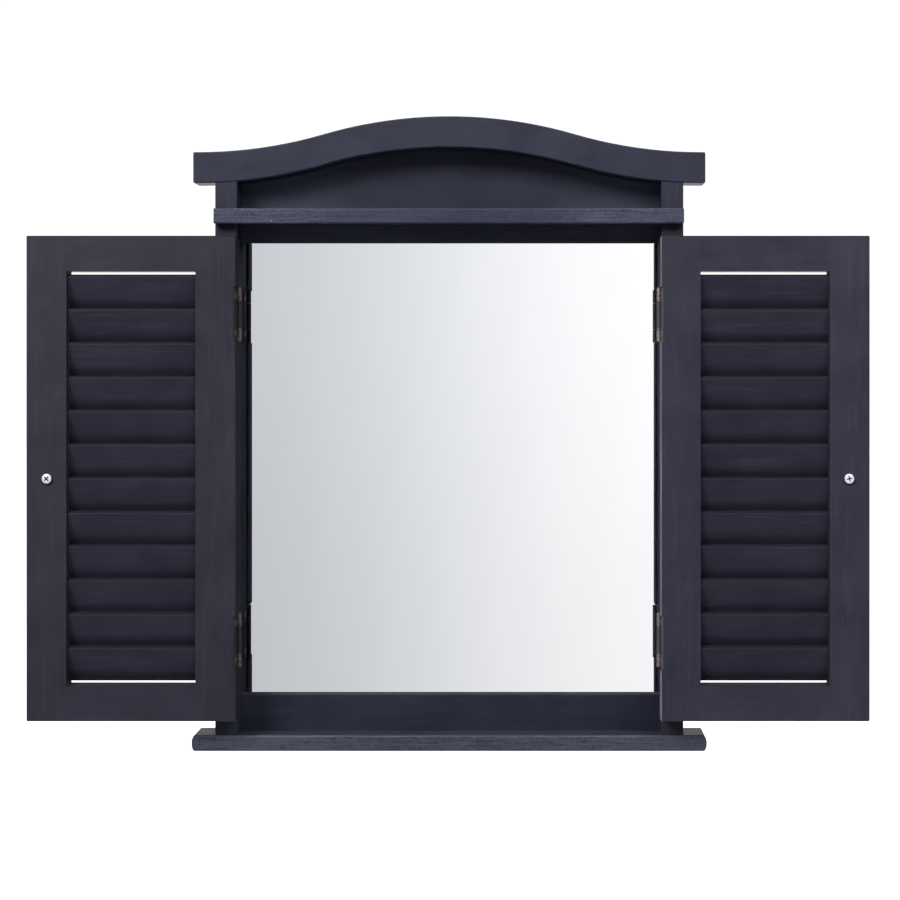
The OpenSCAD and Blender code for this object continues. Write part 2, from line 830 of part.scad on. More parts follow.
// The tenons of a shutter rail, or their mortises when gap is more than 0
module shutter_tenons(low, gap) {
    reach = shutter_tenon + gap;
    shoulder = shutter_shoulder_share * shutter_rail_h;
    thick = shutter_tenon_t + 2 * gap;
    translate([shutter_gap + stile_w - reach, shutter_mid_y - thick / 2, low + shoulder - gap])
        cube([window_w + 2 * reach, thick, shutter_rail_h - 2 * shoulder + 2 * gap]);
}

// Outline of a slat end, upright, with its middle at the origin
module slat_outline(grow) {
    size = [slat_t + 2 * grow, slat_len + 2 * grow];
    rotate(slat_tilt) translate(-size / 2) rounded_rect(size, slat_edge_r + grow);
}

// Slat number i from the bottom, with its ends running reach into the stiles
module slat_body(i, reach, grow) {
    z = shutter_z + shutter_rail_h + slat_end_gap + slat_rise / 2 + (i - 1) * slat_pitch;
    translate([shutter_gap + stile_w - reach, shutter_mid_y, z]) rotate([90, 0, 90])
        linear_extrude(window_w + 2 * reach) mirror([1, 0]) slat_outline(grow);
}

module stile(low_x) {
    difference() {
        intersection() {
            shutter_slab();
            translate([low_x, 0, 0]) cube([stile_w, shutter_t * 2, shutter_z + shutter_h]);
        }
        shutter_tenons(shutter_z, fit);
        shutter_tenons(shutter_z + shutter_h - shutter_rail_h, fit);
        for (i = SLATS) {
            slat_body(i, housing_d, fit);
        }
    }
}

// Carries a hinge drawn on the right post over to the edge of a closed left shutter. Its leaf is
// let in right across the edge
module shutter_hinge_places() {
    for (z = hinge_zs) {
        translate([0, 0, z]) children();
    }
}

module hinge_stile() {
    difference() {
        stile(shutter_gap);
        shutter_hinge_places() leaf_recess(shutter_gap, inner_face + past);
        shutter_hinge_places() leaf_screw_places() countersunk_hole(hinge_screw_r, hinge_screw_len);
    }
}

module free_stile() {
    difference() {
        stile(shutter_gap + shutter_w - stile_w);
        translate([knob_x, inner_face + past, knob_z]) rotate([90, 0, 0])
            cylinder(h = shutter_t + 2 * past, r = knob_screw_r + screw_fit);
    }
}

module shutter_rail(low) {
    intersection() {
        shutter_slab();
        translate([shutter_gap + stile_w, 0, low]) cube([window_w, shutter_t * 2, shutter_rail_h]);
    }
    shutter_tenons(low, 0);
}

module shutter_top_rail() {
    shutter_rail(shutter_z + shutter_h - shutter_rail_h);
}

module shutter_bottom_rail() {
    shutter_rail(shutter_z);
}

module slat(i) {
    slat_body(i, housing_d, 0);
}

module shutter_hinge_leaves() {
    shutter_hinge_places() hinge_leaf(middle_spans, outer_spans);
}

module shutter_hinge_screws() {
    shutter_hinge_places() leaf_screw_places() countersunk_screw(hinge_screw_r, hinge_screw_len);
}

// Points of an arc round the point c, from angle a to angle b
function arc(c, r, a, b) = [
    for (i = [0 : turned_steps])
        let (turn = a + (b - a) * i / turned_steps) c + r * [cos(turn), sin(turn)]
];

// Turned knob on the outer face: a flat foot, a hollow neck and a head with a round rim and a dome
// that ends in a small flat, where the lathe held it
module knob() {
    head_z = knob_h / 2;
    foot_h = knob_h / 12;
    foot_r = knob_r - knob_rim_r - 1;
    cove_half = (head_z - foot_h) / 2;
    cove_depth = foot_r - knob_neck_r;
    cove_r = (cove_half * cove_half + cove_depth * cove_depth) / (2 * cove_depth);
    cove_turn = asin(cove_half / cove_r);
    rim = [knob_r - knob_rim_r, head_z + knob_rim_r];
    rise = knob_h - rim.y;
    dome_r = (rim.x * rim.x + rise * rise - knob_rim_r * knob_rim_r) / (2 * (rise - knob_rim_r));
    dome = [0, knob_h - dome_r];
    dome_turn = atan2(rim.y - dome.y, rim.x);
    translate([knob_x, outer_face, knob_z]) rotate([90, 0, 0]) difference() {
        rotate_extrude() polygon(concat(
            [[0, 0], [foot_r, 0]],
            arc([knob_neck_r + cove_r, head_z - cove_half], cove_r, 180 + cove_turn, 180 - cove_turn),
            arc(rim, knob_rim_r, -90, dome_turn),
            arc(dome, dome_r, dome_turn, dome_end),
            [dome + [0, dome_r * sin(dome_end)]]
        ));
        translate([0, 0, -past])
            cylinder(h = knob_screw_bite + screw_fit + past, r = knob_screw_r + screw_fit);
    }
}

// Pan head screw through the stile from the inner face
module knob_screw() {
    head_r = knob_screw_head_r;
    head_h = pan_head_share * head_r;
    crown_r = pan_crown_share * head_r;
    translate([knob_x, inner_face, knob_z]) rotate([-90, 0, 0]) {
        difference() {
            rotate_extrude() intersection() {
                square([head_r, head_h]);
                translate([0, head_h - crown_r]) circle(crown_r);
            }
            translate([0, 0, pan_floor_share * head_h])
                cross_recess(cross_reach * head_r, cross_half_w * head_r, head_h);
        }
        translate([0, 0, -shutter_t - knob_screw_bite])
            cylinder(h = shutter_t + knob_screw_bite, r = knob_screw_r);
    }
}

// ---- What is drawn ----

sill();
left_post();
right_post();
arch_rail();
pediment_panel();
ledge();
mirror_top_rail();
mirror_bottom_rail();
mirror_glass();
back_board();
back_board_pins();
pediment_pins();
left_hanger_plate();
right_hanger_plate();
hanger_screws();
frame_screws();
left_post_hinge_leaves();
right_post_hinge_leaves();
hinge_pins();
post_hinge_screws();
color(wood_paint) folded_left() hinge_stile();  // left_shutter_hinge_stile
color(wood_paint) folded_left() free_stile();  // left_shutter_free_stile
color(wood_paint) folded_left() shutter_top_rail();  // left_shutter_top_rail
color(wood_paint) folded_left() shutter_bottom_rail();  // left_shutter_bottom_rail
color(brass) folded_left() shutter_hinge_leaves();  // left_shutter_hinge_leaves
color(brass) folded_left() shutter_hinge_screws();  // left_shutter_hinge_screws
color(wood_paint) folded_left() knob();  // left_shutter_knob
color(steel) folded_left() knob_screw();  // left_shutter_knob_screw
color(wood_paint) folded_right() hinge_stile();  // right_shutter_hinge_stile
color(wood_paint) folded_right() free_stile();  // right_shutter_free_stile
color(wood_paint) folded_right() shutter_top_rail();  // right_shutter_top_rail
color(wood_paint) folded_right() shutter_bottom_rail();  // right_shutter_bottom_rail
color(brass) folded_right() shutter_hinge_leaves();  // right_shutter_hinge_leaves
color(brass) folded_right() shutter_hinge_screws();  // right_shutter_hinge_screws
color(wood_paint) folded_right() knob();  // right_shutter_knob
color(steel) folded_right() knob_screw();  // right_shutter_knob_screw
for (i = SLATS) {
    color(slat_paint) folded_left() slat(i);
    color(slat_paint) folded_right() slat(i);
}
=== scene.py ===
from math import radians

import bpy
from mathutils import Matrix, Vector


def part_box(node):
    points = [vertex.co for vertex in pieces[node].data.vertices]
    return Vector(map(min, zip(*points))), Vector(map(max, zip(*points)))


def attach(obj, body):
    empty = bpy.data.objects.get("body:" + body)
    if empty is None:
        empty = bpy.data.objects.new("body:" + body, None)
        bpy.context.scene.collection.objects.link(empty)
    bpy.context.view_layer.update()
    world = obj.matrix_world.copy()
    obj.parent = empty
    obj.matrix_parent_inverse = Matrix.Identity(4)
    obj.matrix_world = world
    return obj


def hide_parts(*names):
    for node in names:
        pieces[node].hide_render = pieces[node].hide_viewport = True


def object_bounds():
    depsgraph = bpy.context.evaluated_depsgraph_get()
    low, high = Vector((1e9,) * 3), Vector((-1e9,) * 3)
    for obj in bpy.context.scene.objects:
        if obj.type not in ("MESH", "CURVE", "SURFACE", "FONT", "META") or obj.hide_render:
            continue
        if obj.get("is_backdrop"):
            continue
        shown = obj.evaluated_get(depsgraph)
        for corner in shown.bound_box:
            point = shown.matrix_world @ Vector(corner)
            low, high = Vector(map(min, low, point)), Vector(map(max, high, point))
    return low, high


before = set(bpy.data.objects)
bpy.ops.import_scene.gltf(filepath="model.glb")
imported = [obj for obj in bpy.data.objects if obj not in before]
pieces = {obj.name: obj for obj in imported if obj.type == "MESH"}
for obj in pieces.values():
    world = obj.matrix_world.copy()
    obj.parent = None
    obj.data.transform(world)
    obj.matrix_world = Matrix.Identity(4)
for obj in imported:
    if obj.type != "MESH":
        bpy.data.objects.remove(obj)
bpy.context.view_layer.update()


# ---------------------------------------------------------------------------------------------
# Sill: a pine board under both posts, its ends bulged and its edges eased with sandpaper.
# Brushed with two thin coats of dark slate paint, which the sawn front edge drank, so that it
# dried streaked. Its front is painted paler, partly thin paint and partly painted light from
# below, and paler still towards its ends as painted light. Screwed to the posts from below.
# ---------------------------------------------------------------------------------------------
def add_node(finish, kind, wired=None, **settings):
    """Adds a shader node. wired gives its inputs, each a number, a colour or another node's output."""
    made = finish.node_tree.nodes.new("ShaderNode" + kind)
    for name, value in settings.items():
        setattr(made, name, value)
    for name, value in (wired or {}).items():
        if isinstance(value, bpy.types.NodeSocket):
            finish.node_tree.links.new(value, made.inputs[name])
        else:
            made.inputs[name].default_value = value
    return made


def new_finish(name):
    """A material with a plain Principled shader."""
    finish = bpy.data.materials.new(name)
    finish.use_nodes = True
    return finish


def feed(finish, name, value):
    """Gives an input of the Principled shader a node's output or a plain value."""
    wanted = finish.node_tree.nodes["Principled BSDF"].inputs[name]
    if isinstance(value, bpy.types.NodeSocket):
        finish.node_tree.links.new(value, wanted)
    else:
        wanted.default_value = value


def place_on(finish):
    """Where a point of the surface lies on the part."""
    return add_node(finish, "TexCoord").outputs["Object"]


def spot_on(finish):
    """Where a point of the surface lies on the part, as X, Y and Z."""
    return add_node(finish, "SeparateXYZ", {0: place_on(finish)}).outputs


def facing_on(finish):
    """Which way the surface faces, as X, Y and Z."""
    return add_node(finish, "SeparateXYZ", {0: add_node(finish, "NewGeometry").outputs["Normal"]}).outputs


def work_out(finish, operation, *values):
    """The result of one step of arithmetic on one or two values."""
    return add_node(finish, "Math", dict(enumerate(values)), operation=operation).outputs[0]


def times(finish, first, second):
    """The product of two values."""
    return work_out(finish, "MULTIPLY", first, second)


def plus(finish, first, second):
    """The sum of two values."""
    return work_out(finish, "ADD", first, second)


def level(finish, value, lowest, highest, to_lowest, to_highest, steps="LINEAR"):
    """Stretches a value from one range to another and stops it at the ends."""
    made = add_node(
        finish, "MapRange",
        {"Value": value, "From Min": lowest, "From Max": highest, "To Min": to_lowest, "To Max": to_highest},
        interpolation_type=steps,
    )
    return made.outputs["Result"]


def over(finish, share, below, above):
    """One colour laid over another by a mask. Either colour may be a node's output."""
    below, above = (
        colour if isinstance(colour, bpy.types.NodeSocket) else (*colour, 1) for colour in (below, above)
    )
    return add_node(finish, "Mix", {0: share, 6: below, 7: above}, data_type="RGBA").outputs[2]


def speckle(finish, place, scale, detail=3.0, roughness=0.55, distortion=0.0):
    """Soft noise at a number of lumps to the metre."""
    made = add_node(
        finish, "TexNoise",
        {"Vector": place, "Scale": scale, "Detail": detail, "Roughness": roughness, "Distortion": distortion},
    )
    return made.outputs["Fac"]


def emboss(finish, height, strength, distance):
    """Raises the surface by a height from 0 to 1, times a distance in metres."""
    bumps = add_node(finish, "Bump", {"Height": height, "Strength": strength, "Distance": distance})
    feed(finish, "Normal", bumps.outputs["Normal"])


def lay_over(finish, mask, colour, hides=1.0, duller=0.0):
    """Lays another colour over a finish by a mask. hides is how far it covers what is below, and
    duller how much rougher it is."""
    inputs = finish.node_tree.nodes["Principled BSDF"].inputs
    share = mask if hides == 1.0 else times(finish, mask, hides)
    feed(finish, "Base Color", over(finish, share, inputs["Base Color"].links[0].from_socket, colour))
    if duller:
        dull = inputs["Roughness"].links[0].from_socket
        feed(finish, "Roughness", plus(finish, dull, times(finish, mask, duller)))


SLATE = (0.0240, 0.0265, 0.0485)
SLATE_THICK = (0.0195, 0.0212, 0.0400)
SLATE_THIN = (0.0600, 0.0660, 0.1040)
SLATE_RUBBED = (0.0420, 0.0420, 0.0560)
DUST = (0.150, 0.125, 0.110)
DUST_NIB = (0.26, 0.26, 0.29)
ALONG_X, ALONG_Y, ALONG_Z = (1, 0, 0), (0, 1, 0), (0, 0, 1)

# lumps of the patterns to the metre, and for the sawn edge on X, Y and Z
FIBRES_ALONG, FIBRES_ACROSS = 26, 1000
FIGURE_ALONG, FIGURE_ACROSS = 12, 170
SAWN_FIBRES = (34, 600, 1150)
NIB_CELLS = 170

# how far from the middle of the part the paint begins to thin, and where it is thinnest
THINNING_FROM, THINNING_TO = 0.06, 0.15

# how wide a band along a sharp edge is rubbed
RUBBED_WIDTH = 0.0008


def tinted(paint, tint, share=1.0):
    """A paint scaled by a tint, channel by channel."""
    return [part * scale * share for part, scale in zip(paint, tint)]


def slate_paint(name, grain, open_grain, shift=(0, 0, 0), tint=(1, 1, 1)):
    """Satin slate paint brushed on pine. grain is the way the fibres run, open_grain how far they
    show (0 to 1), shift moves the pattern, so that no two boards match, and tint scales the colour."""
    finish = new_finish(name)
    place = place_on(finish)
    fibres_at, figure_at = (
        add_node(
            finish, "Mapping",
            {"Vector": place, "Location": shift, "Scale": [along if way else across for way in grain]},
        ).outputs[0]
        for along, across in ((FIBRES_ALONG, FIBRES_ACROSS), (FIGURE_ALONG, FIGURE_ACROSS))
    )
    fibres = speckle(finish, fibres_at, 1.0, detail=2.0, roughness=0.6)
    figure = speckle(finish, figure_at, 1.0, detail=4.0, distortion=0.4)
    figure.node.name = "figure"
    blotches = speckle(finish, place, 30.0, detail=5.0, roughness=0.6)
    grit = speckle(finish, place, 1400.0, detail=1.0)

    # two coats, thick in the hollows and thin on the raised fibres
    coat = level(finish, blotches, 0.35, 0.65, 0.0, 1.0)
    colour = over(finish, coat, tinted(SLATE_THICK, tint), tinted(SLATE, tint))
    streaks = plus(finish, times(finish, fibres, 0.55), times(finish, figure, 0.45))
    raised = level(finish, streaks, 0.50, 0.68, 0.0, open_grain)
    feed(finish, "Base Color", over(finish, raised, colour, tinted(SLATE_THIN, tint)))

    # satin, duller where the fibres stand up
    satin = level(finish, blotches, 0.3, 0.7, 0.44, 0.54)
    feed(finish, "Roughness", plus(finish, satin, times(finish, raised, 0.15)))
    feed(finish, "Specular IOR Level", 0.38)
    relief = plus(finish, times(finish, streaks, 0.35 + open_grain), times(finish, grit, 0.22))
    emboss(finish, relief, 0.35, 0.0004)
    return finish


def paint_pale_front_and_light(finish, middle, painted_light_at_ends, shift=(0, 0, 0), tint=(1, 1, 1), ragged=1.0):
    """Paint made paler on a face to the front, partly paint that dried thin and partly painted light.
    middle is how pale it is, and the next value how much paler it is painted towards the two ends,
    as painted light; ragged is how far torn fibres break that up."""
    place = place_on(finish)
    front = level(finish, facing_on(finish)["Y"], -0.30, -0.85, 0.0, 1.0)
    outwards = work_out(finish, "ABSOLUTE", spot_on(finish)["X"])
    # paler towards the two ends as painted light
    pale_and_lit = level(finish, outwards, THINNING_FROM, THINNING_TO, middle, middle + painted_light_at_ends, "SMOOTHSTEP")
    sawn_at = add_node(
        finish, "Mapping",
        {"Vector": place, "Location": shift, "Rotation": (0, radians(2.5), 0), "Scale": SAWN_FIBRES},
    )
    sawn = speckle(finish, sawn_at.outputs[0], 1.0, detail=4.0, roughness=0.65, distortion=0.8)
    fuzz = speckle(finish, place, 850.0, detail=2.0, roughness=0.6)
    torn = plus(finish, times(finish, sawn, 0.6), times(finish, fuzz, 0.4))
    pale_and_lit = times(finish, pale_and_lit, level(finish, torn, 0.43, 0.57, 1.0 - ragged, 1.0 + ragged))
    lay_over(finish, times(finish, front, pale_and_lit), tinted(SLATE_THIN, tint))


def rub_edges(finish, share):
    """Paint rubbed thin along the sharp outer edges, in patches."""
    rounded = add_node(finish, "Bevel", {"Radius": RUBBED_WIDTH}, samples=6).outputs["Normal"]
    flat = add_node(finish, "NewGeometry").outputs["Normal"]
    alike = add_node(finish, "VectorMath", {0: rounded, 1: flat}, operation="DOT_PRODUCT").outputs["Value"]
    edges = level(finish, alike, 0.995, 0.85, 0.0, 1.0)
    figure = finish.node_tree.nodes["figure"].outputs["Fac"]
    patches = level(finish, figure, 0.45, 0.62, 0.1, share)
    lay_over(finish, times(finish, edges, patches), SLATE_RUBBED)


def scatter_nibs(finish, share):
    """Specks of dust that dried into the paint, one in a share of the cells of a net."""
    spot = spot_on(finish)
    net = add_node(finish, "CombineXYZ", {0: spot["X"], 1: plus(finish, spot["Y"], spot["Z"])}).outputs[0]
    cells = add_node(
        finish, "TexVoronoi", {"Vector": net, "Scale": NIB_CELLS}, voronoi_dimensions="2D",
    ).outputs
    few = level(finish, cells["Color"], 1.0 - share, 1.01 - share, 0.0, 1.0)
    dots = level(finish, cells["Distance"], 0.06, 0.11, 1.0, 0.0)
    lay_over(finish, times(finish, few, dots), DUST_NIB)


def settle_dust(finish, share):
    """A thin, patchy film of dust on what lies level."""
    patches = level(finish, speckle(finish, place_on(finish), 280.0), 0.47, 0.60, 0.0, share)
    on_top = level(finish, facing_on(finish)["Z"], 0.85, 0.95, 0.0, 1.0)
    lay_over(finish, times(finish, patches, on_top), DUST, hides=0.12, duller=0.07)


def dress(piece, finish):
    """Gives a CAD piece its finish."""
    for place in pieces[piece].material_slots:
        place.material = finish


SILL_TINT = (0.98, 0.96, 0.90)
sill_paint = slate_paint("sill_paint", ALONG_X, open_grain=0.3, tint=SILL_TINT)
paint_pale_front_and_light(sill_paint, middle=0.62, painted_light_at_ends=0.90, tint=SILL_TINT)
rub_edges(sill_paint, 0.2)
scatter_nibs(sill_paint, 0.05)
settle_dust(sill_paint, 0.8)
dress("sill", sill_paint)

# ---------------------------------------------------------------------------------------------
# Posts: two pine uprights with eased edges, painted with the rest of the frame after it was
# glued and screwed together. Their backs stay flat to the wall.
# ---------------------------------------------------------------------------------------------
for side, shift in (("left", (0.3, 0.1, 0)), ("right", (0.9, 0.5, 0))):
    dress(side + "_post", slate_paint(
        side + "_post_paint", ALONG_Z, open_grain=0.25, shift=shift, tint=(0.96, 0.94, 0.89),
    ))

# ---------------------------------------------------------------------------------------------
# Arched head rail: band-sawn from a wide pine board to an S-curve on both edges, and sanded
# smooth before it was painted.
# ---------------------------------------------------------------------------------------------
arch_paint = slate_paint("arch_paint", ALONG_X, open_grain=0.10, shift=(0, 0.2, 0.4))
rub_edges(arch_paint, 0.5)
scatter_nibs(arch_paint, 0.02)
dress("arch_rail", arch_paint)

# ---------------------------------------------------------------------------------------------
# Panel under the arch: thin plywood, pinned to the head rail from behind. Its paint is painted
# paler towards its two ends, painted light that lifts the shade under the arch there.
# ---------------------------------------------------------------------------------------------
PANEL_SHIFT, PANEL_TINT = (0, 0.7, 0.1), (0.84, 0.84, 0.86)
panel_paint = slate_paint("pediment_paint", ALONG_X, open_grain=0.12, shift=PANEL_SHIFT, tint=PANEL_TINT)
paint_pale_front_and_light(panel_paint, middle=0.0, painted_light_at_ends=0.62, shift=PANEL_SHIFT, tint=PANEL_TINT, ragged=0.2)
dress("pediment_panel", panel_paint)

# ---------------------------------------------------------------------------------------------
# Ledge: a narrow pine strip, notched round the posts, with its sawn edge to the front. That
# edge is rough and rubbed, and it caught the most dust as it dried. Its front is painted paler,
# partly pale sawn fibres and partly painted light, and paler towards its ends as painted light.
# ---------------------------------------------------------------------------------------------
LEDGE_SHIFT = (0.2, 0.4, 0.8)
ledge_paint = slate_paint("ledge_paint", ALONG_X, open_grain=0.35, shift=LEDGE_SHIFT)
paint_pale_front_and_light(ledge_paint, middle=0.20, painted_light_at_ends=0.55, shift=LEDGE_SHIFT)
rub_edges(ledge_paint, 0.7)
scatter_nibs(ledge_paint, 0.12)
dress("ledge", ledge_paint)

# ---------------------------------------------------------------------------------------------
# Mirror rails: the two pine rails above and below the mirror, tenoned into the posts and set
# back behind their fronts.
# ---------------------------------------------------------------------------------------------
dress("mirror_top_rail", slate_paint("top_rail_paint", ALONG_X, open_grain=0.2, shift=(0, 0.3, 0.9)))
# the bottom rail's tint darkens its paint, painted shade for its recess between the mirror and the sill
dress("mirror_bottom_rail", slate_paint(
    "bottom_rail_paint", ALONG_X, open_grain=0.2, shift=(0, 0.9, 0.5), tint=(0.72, 0.72, 0.74),
))

# ---------------------------------------------------------------------------------------------
# Mirror: 3 mm float glass, silvered on the back and laid into the rebates of the frame. Wiped
# clean, with a trace of streaks that only shows at a low angle.
# ---------------------------------------------------------------------------------------------
silver = new_finish("silvered_glass")
wiped_at = add_node(
    silver, "Mapping", {"Vector": place_on(silver), "Scale": (30, 30, 9), "Rotation": (0, 0.5, 0)},
)
wiped = speckle(silver, wiped_at.outputs[0], 1.0, detail=2.0)
feed(silver, "Base Color", over(silver, wiped, (0.81, 0.83, 0.845), (0.85, 0.87, 0.885)))
feed(silver, "Roughness", level(silver, wiped, 0.4, 0.7, 0.008, 0.03))
feed(silver, "Metallic", 1.0)
dress("mirror_glass", silver)

# ---------------------------------------------------------------------------------------------
# Back board: brown hardboard behind the glass, its screen side out, which shows the weave that
# it was pressed on. Held with twelve panel pins and left unpainted.
# ---------------------------------------------------------------------------------------------
hardboard = new_finish("hardboard")
place = place_on(hardboard)
pulp = speckle(hardboard, place, 700.0, detail=4.0, roughness=0.7)
clouds = speckle(hardboard, place, 14.0, detail=2.0)
fibrous = level(hardboard, pulp, 0.3, 0.7, 0.0, 1.0)
feed(hardboard, "Base Color", over(hardboard, fibrous, (0.16, 0.092, 0.048), (0.30, 0.185, 0.105)))
feed(hardboard, "Roughness", 0.75)
lay_over(hardboard, level(hardboard, clouds, 0.4, 0.7, 0.0, 0.35), (0.20, 0.12, 0.066))
threads = [
    add_node(
        hardboard, "TexWave", {"Vector": place, "Scale": 230.0, "Distortion": 0.4}, bands_direction=way,
    ).outputs["Fac"]
    for way in ("X", "Z")
]
weave = plus(hardboard, times(hardboard, threads[0], threads[1]), times(hardboard, pulp, 0.5))
emboss(hardboard, weave, 0.5, 0.0003)
dress("back_board", hardboard)

# ---------------------------------------------------------------------------------------------
# Steel fixings: panel pins, countersunk screws and the two keyhole hanger plates, all bright
# zinc with a little white bloom.
# ---------------------------------------------------------------------------------------------
zinc = new_finish("bright_zinc")
bloom = speckle(zinc, place_on(zinc), 420.0, detail=4.0)
feed(zinc, "Base Color", over(zinc, bloom, (0.42, 0.43, 0.44), (0.66, 0.67, 0.68)))
feed(zinc, "Roughness", level(zinc, bloom, 0.3, 0.7, 0.28, 0.45))
feed(zinc, "Metallic", 1.0)
for piece in (
    "back_board_pins", "pediment_pins", "hanger_screws", "frame_screws",
    "left_hanger_plate", "right_hanger_plate",
):
    dress(piece, zinc)

# ---------------------------------------------------------------------------------------------
# Shutter frames: two stiles and two rails of pine, mortised and glued, then painted. The stiles
# carry the twelve slanted housings for the slats. Upper edges and the faces between the slats are
# painted darker as painted shade, and duller; the right shutter is painted paler, as painted light.
# ---------------------------------------------------------------------------------------------
EDGE_HIGHLIGHT = (0.195, 0.198, 0.250)
# how strong the painted shade, dark and dull, is on the shutters' upper edges and between the slats
SHUTTER_SHADE = 0.9

# where the painted highlight begins to fade and where it ends, across the front face and in from it
HIGHLIGHT_ACROSS, HIGHLIGHT_INWARDS = (0.0003, 0.0013), (0.0015, 0.0065)


def paint_edge_highlight(finish, corner):
    """A painted highlight: paler paint along an upright front edge, in patches, where the rounded edge
    catches the light. corner is the lowest corner of that upright."""
    spot = spot_on(finish)
    highlight_band = times(
        finish, level(finish, spot["X"], *(corner[0] + across for across in HIGHLIGHT_ACROSS), 1.0, 0.0),
        level(finish, spot["Y"], *(corner[1] + inwards for inwards in HIGHLIGHT_INWARDS), 1.0, 0.10),
    )
    patches = level(finish, finish.node_tree.nodes["figure"].outputs["Fac"], 0.35, 0.60, 0.45, 1.0)
    lay_over(finish, times(finish, highlight_band, patches), EDGE_HIGHLIGHT)


def upper_edges(finish, share):
    """A mask for faces that point up, with share where it is strongest."""
    return level(finish, facing_on(finish)["Z"], 0.0, 0.45, 0.0, share)


def between_slats(finish, side_x, share):
    """A mask for the side face of an upright that stands at side_x, with share where it is
    strongest."""
    away = work_out(finish, "ABSOLUTE", plus(finish, spot_on(finish)["X"], -side_x))
    sideways = work_out(finish, "ABSOLUTE", facing_on(finish)["X"])
    return times(
        finish, level(finish, away, 0.0002, 0.0005, share, 0.0), level(finish, sideways, 0.5, 0.9, 0.0, 1.0),
    )


def paint_shade_dull(finish, mask, tint):
    """Painted shade: darkens the faces under a mask and makes their paint duller."""
    lay_over(finish, mask, tinted(SLATE_THICK, tint, 0.25), duller=0.5)


# paler scales each shutter's paint: painted light, the right shutter made paler than the left
for side, offset, paler in (("left", 0.15, 0.93), ("right", 0.65, 1.15)):
    for piece, grain, shift, tint in (
        ("hinge_stile", ALONG_Z, (offset, 0.2, 0), (1.04, 0.94, 0.85)),
        ("free_stile", ALONG_Z, (offset + 0.3, 0.6, 0), (1.08, 0.97, 0.87)),
        ("top_rail", ALONG_X, (0, offset, 0.3), (0.95, 0.90, 0.80)),
        ("bottom_rail", ALONG_X, (0, offset, 0.7), (1.08, 0.98, 0.89)),
    ):
        name = f"{side}_shutter_{piece}"
        lowest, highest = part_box(name)
        tint = [part * paler for part in tint]
        paint = slate_paint(name + "_paint", grain, open_grain=0.16, shift=shift, tint=tint)
        scatter_nibs(paint, 0.012)
        # a painted highlight along the front edge of the right shutter's hinge stile
        if name == "right_shutter_hinge_stile":
            paint_edge_highlight(paint, lowest)
        # painted shade, with duller paint, on faces that point up and on the stiles' side faces by the slats
        painted_shade = upper_edges(paint, SHUTTER_SHADE)
        if grain == ALONG_Z:
            slats_at = highest if (side == "left") == (piece == "free_stile") else lowest
            painted_shade = work_out(paint, "MAXIMUM", painted_shade, between_slats(paint, slats_at[0], SHUTTER_SHADE))
        paint_shade_dull(paint, painted_shade, tint)
        dress(name, paint)

# ---------------------------------------------------------------------------------------------
# Slats: twelve thin pine louvres to a shutter, rounded on both long edges and glued into the
# housings at one tilt. Their faces are painted darker low down, just above the next slat's top
# edge, and their upper edges darker and duller: both painted shade.
# ---------------------------------------------------------------------------------------------
SLATS = 12
SLAT_TINT = (0.99, 0.87, 0.88)
slat_tops = [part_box(f"left_slat_{number}")[1][2] for number in (1, SLATS)]
slat_spacing = abs(slat_tops[0] - slat_tops[1]) / (SLATS - 1)
for side, offset in (("left", 0.05), ("right", 0.55)):
    paint = slate_paint(
        side + "_slat_paint", ALONG_X, open_grain=0.25, shift=(0, offset, 0.2), tint=SLAT_TINT,
    )

    # how far up a point lies between one slat's top edge, 0, and the next one's, 1
    above_first = plus(paint, spot_on(paint)["Z"], -min(slat_tops))
    share = work_out(paint, "FRACT", times(paint, above_first, 1 / slat_spacing))
    # painted shade: each slat's face darker low down, just above the next slat's top edge
    groove_shade = times(
        paint, level(paint, share, 0.02, 0.42, 0.65, 0.0, "SMOOTHERSTEP"),
        level(paint, facing_on(paint)["Z"], -0.20, -0.05, 1.0, 0.0),
    )
    lay_over(paint, groove_shade, tinted(SLATE_THICK, SLAT_TINT, 0.3))
    # painted shade on each slat's upper edge, with duller paint
    edges = times(paint, upper_edges(paint, 0.98), level(paint, share, 0.90, 0.94, 0.0, 1.0))
    paint_shade_dull(paint, edges, SLAT_TINT)
    for number in range(1, SLATS + 1):
        dress(f"{side}_slat_{number}", paint)

# ---------------------------------------------------------------------------------------------
# Butt hinges: folded brass, two to a shutter, screwed on before the frame was painted. The paint
# has rubbed off the outer knuckles, where the shutters turn.
# ---------------------------------------------------------------------------------------------
# the pins and the middles of the two hinges, where the CAD model has them
PIN_Y, HINGE_ZS = -0.0295, (0.0931, 0.3641)
MIDDLE_KNUCKLE_HALF = 0.0115

RUBBED_BRASS, BRASS_SHADE = (0.240, 0.200, 0.182), (0.100, 0.080, 0.070)
HINGE_PAINT, HINGE_PAINT_LIT = (0.028, 0.028, 0.034), (0.072, 0.073, 0.088)


